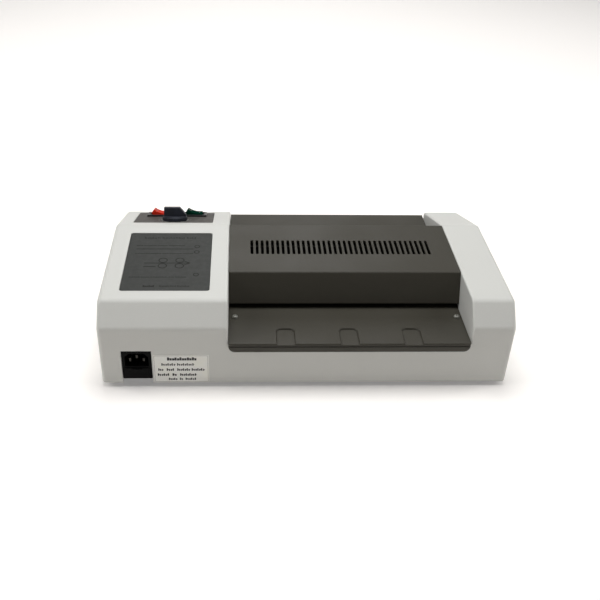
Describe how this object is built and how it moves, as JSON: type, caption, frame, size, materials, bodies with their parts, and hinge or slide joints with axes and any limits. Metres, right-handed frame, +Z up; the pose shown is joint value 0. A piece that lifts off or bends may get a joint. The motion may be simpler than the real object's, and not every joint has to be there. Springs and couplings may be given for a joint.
{
  "type": "pouch laminator",
  "caption": "Desktop pouch laminator with a vented cover between two towers, feed and exit trays, rocker switches, a temperature dial and heated rollers geared together.",
  "frame": {"origin": "midway between the front and rear walls and, within 3 mm, the bounding box's centre, on the surface that the rubber feet stand on", "axes": "+X across the machine towards the control tower, +Y along the pouch's travel towards the exit tray and mains inlet, +Z up; the feed side and the controls face -Y"},
  "size_m": [0.422, 0.2748, 0.1013],
  "materials": {
    "housing_white": "fine moulded texture, light warm grey",
    "cover_grey": "fine moulded texture, dark warm grey",
    "plate_grey": "satin, faint raised marks",
    "panel_grey": "satin film on plastic",
    "label_paper": "coated label stock",
    "switch_black": "semi-gloss nylon",
    "inlet_black": "dull moulded nylon",
    "knob_black": "polished phenolic",
    "rocker_red": "gloss",
    "rocker_green": "gloss, dark green",
    "contact_brass": "bright",
    "pot_metal": "plated",
    "sheet_steel": "zinc plated sheet",
    "reflector_aluminium": "bright rolled sheet",
    "screw_steel": "zinc plated",
    "bar_steel": "ground bar",
    "spring_steel": "blued strip",
    "foot_rubber": "dull black",
    "bush_plastic": "natural high-temperature plastic",
    "core_aluminium": "turned tube",
    "silicone_red": "smooth silicone",
    "silicone_grey": "smooth silicone",
    "gear_plastic": "natural acetal",
    "heater_ceramic": "unglazed",
    "thermostat_phenolic": "phenolic",
    "motor_metal": "plated can",
    "board_green": "solder mask on laminate",
    "component_black": "moulded",
    "standoff_nylon": "natural nylon",
    "wire_insulation": "flexible insulation",
    "fuse_glass": "clear tube"
  },
  "bodies": {
    "chassis": {"outer_housing": "housing_white", "top_cover": "cover_grey", "exit_tray": "cover_grey", "feed_tray": "cover_grey", "instruction_plate": "plate_grey", "control_panel": "panel_grey", "rating_label": "label_paper", "power_switch_body": "switch_black", "mode_switch_body": "switch_black", "inlet_body": "inlet_black", "switch_terminals": "contact_brass", "inlet_pins": "contact_brass", "temperature_pot": "pot_metal", "pot_nut": "pot_metal", "base_plate": "sheet_steel", "inlet_bracket": "sheet_steel", "drive_side_frame": "sheet_steel", "idle_side_frame": "sheet_steel", "heater_bracket": "sheet_steel", "gear_plate": "sheet_steel", "middle_guides": "sheet_steel", "heat_reflectors": "reflector_aluminium", "tray_screws": "screw_steel", "foot_screws": "screw_steel", "foot_nuts": "screw_steel", "housing_screws": "screw_steel", "chassis_screws": "screw_steel", "tie_bars": "bar_steel", "idler_stud": "bar_steel", "heater_rods": "bar_steel", "pressure_springs": "spring_steel", "rubber_feet": "foot_rubber", "roller_bushes": "bush_plastic", "heater_holders": "heater_ceramic", "thermostat": "thermostat_phenolic", "gear_motor": "motor_metal", "control_board": "board_green", "board_components": "component_black", "board_standoffs": "standoff_nylon", "wiring": "wire_insulation"},
    "lower_heat_roller": {"lower_heat_roller_core": "core_aluminium", "lower_heat_roller_sleeve": "silicone_red", "lower_heat_roller_gear": "gear_plastic"},
    "upper_heat_roller": {"upper_heat_roller_core": "core_aluminium", "upper_heat_roller_sleeve": "silicone_red", "upper_heat_roller_gear": "gear_plastic"},
    "lower_pull_roller": {"lower_pull_roller_core": "bar_steel", "lower_pull_roller_sleeve": "silicone_grey", "lower_pull_roller_gear": "gear_plastic"},
    "upper_pull_roller": {"upper_pull_roller_core": "bar_steel", "upper_pull_roller_sleeve": "silicone_grey", "upper_pull_roller_gear": "gear_plastic"},
    "idler": {"idler_gear": "gear_plastic"},
    "pinion": {"motor_pinion": "gear_plastic"},
    "power_key": {"power_rocker": "rocker_red"},
    "mode_key": {"mode_rocker": "rocker_green"},
    "temperature_dial": {"temperature_knob": "knob_black", "pot_shaft": "pot_metal"},
    "fuse_carrier": {"fuse_drawer": "inlet_black", "fuse": "fuse_glass"}
  },
  "joints": [
    {"name": "lower_heat_roller_spin", "type": "hinge", "parent": "chassis", "child": "lower_heat_roller", "pos_m": [0, -0.0174, 0.0465], "axis": [1, 0, 0], "continuous": true},
    {"name": "upper_heat_roller_spin", "type": "hinge", "parent": "chassis", "child": "upper_heat_roller", "pos_m": [0, -0.0174, 0.0745], "axis": [1, 0, 0], "continuous": true},
    {"name": "lower_pull_roller_spin", "type": "hinge", "parent": "chassis", "child": "lower_pull_roller", "pos_m": [0, 0.0414, 0.0465], "axis": [1, 0, 0], "continuous": true},
    {"name": "upper_pull_roller_spin", "type": "hinge", "parent": "chassis", "child": "upper_pull_roller", "pos_m": [0, 0.0414, 0.0745], "axis": [1, 0, 0], "continuous": true},
    {"name": "idler_gear_spin", "type": "hinge", "parent": "chassis", "child": "idler", "pos_m": [0, 0.012, 0.0465], "axis": [1, 0, 0], "continuous": true},
    {"name": "motor_pinion_spin", "type": "hinge", "parent": "chassis", "child": "pinion", "pos_m": [0, 0.0659, 0.0465], "axis": [1, 0, 0], "continuous": true},
    {"name": "power_rocker_press", "type": "hinge", "parent": "chassis", "child": "power_key", "pos_m": [0.1652, -0.10748, 0.07318], "axis": [0, 0.943, 0.3327], "range_deg": [0, 28]},
    {"name": "mode_rocker_press", "type": "hinge", "parent": "chassis", "child": "mode_key", "pos_m": [0.1238, -0.10748, 0.07318], "axis": [0, 0.943, 0.3327], "range_deg": [0, 28]},
    {"name": "temperature_dial_turn", "type": "hinge", "parent": "chassis", "child": "temperature_dial", "pos_m": [0.1445, -0.0711, 0.08549], "axis": [0, -0.3327, 0.943], "range_deg": [-240, 60]},
    {"name": "fuse_drawer_slide", "type": "slide", "parent": "chassis", "child": "fuse_carrier", "axis": [0, 1, 0], "range_m": [0, 0.016]}
  ],
  "couplings": [
    {"joint": "upper_heat_roller_spin", "follows": "lower_heat_roller_spin", "ratio": -1},
    {"joint": "lower_pull_roller_spin", "follows": "lower_heat_roller_spin", "ratio": 1},
    {"joint": "upper_pull_roller_spin", "follows": "lower_heat_roller_spin", "ratio": -1},
    {"joint": "idler_gear_spin", "follows": "lower_heat_roller_spin", "ratio": -0.90909},
    {"joint": "motor_pinion_spin", "follows": "lower_heat_roller_spin", "ratio": -1.3333}
  ]
}
